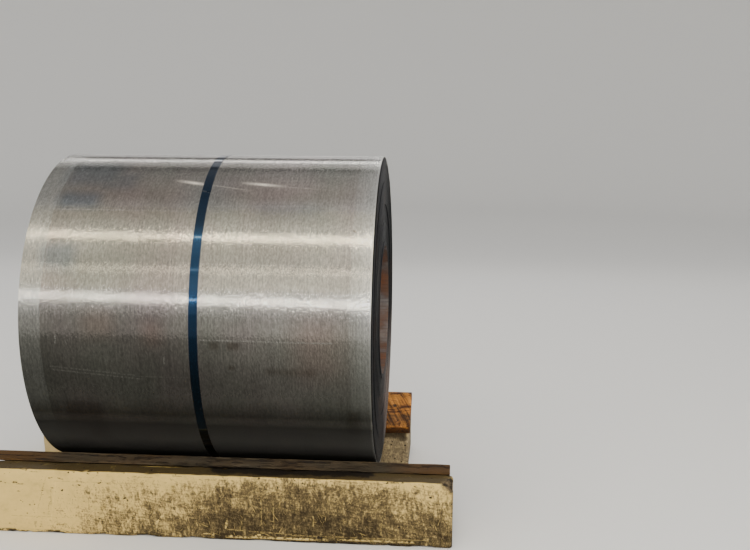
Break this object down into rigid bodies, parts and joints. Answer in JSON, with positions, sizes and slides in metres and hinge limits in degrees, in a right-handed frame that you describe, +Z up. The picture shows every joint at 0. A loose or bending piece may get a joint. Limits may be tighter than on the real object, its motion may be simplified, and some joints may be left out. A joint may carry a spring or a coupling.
{
  "type": "steel coil on saddle beams",
  "caption": "Wound coil of bare steel strip with a round bore and a steel girth strap, lying in a V saddle of concrete beams faced with timber planks.",
  "frame": {"origin": "on the floor below the middle of the coil, at the centre of the bounding box's base", "axes": "+X along the coil's axis, +Y from the front beam to the rear beam, +Z up"},
  "size_m": [1.79, 1.2029, 1.3592],
  "materials": {
    "coil_steel": "bare cold-rolled strip, dull brushed sheen with fine streaks round the girth and darker end laps",
    "strap_paint": "dark blue painted steel strap, semi-gloss, edges rubbed bright",
    "front_timber": "rough sawn board, greyed and soiled with orange-brown ends",
    "rear_timber": "rough sawn board, orange-brown with dark weathered grain",
    "front_concrete": "precast concrete with worn cream paint, scuffed and dirty",
    "rear_concrete": "precast concrete with worn cream paint, scuffed and dirty"
  },
  "bodies": {
    "root": {"steel_coil": "coil_steel", "girth_strap": "strap_paint", "front_plank": "front_timber", "rear_plank": "rear_timber", "front_beam": "front_concrete", "rear_beam": "rear_concrete"}
  },
  "joints": []
}
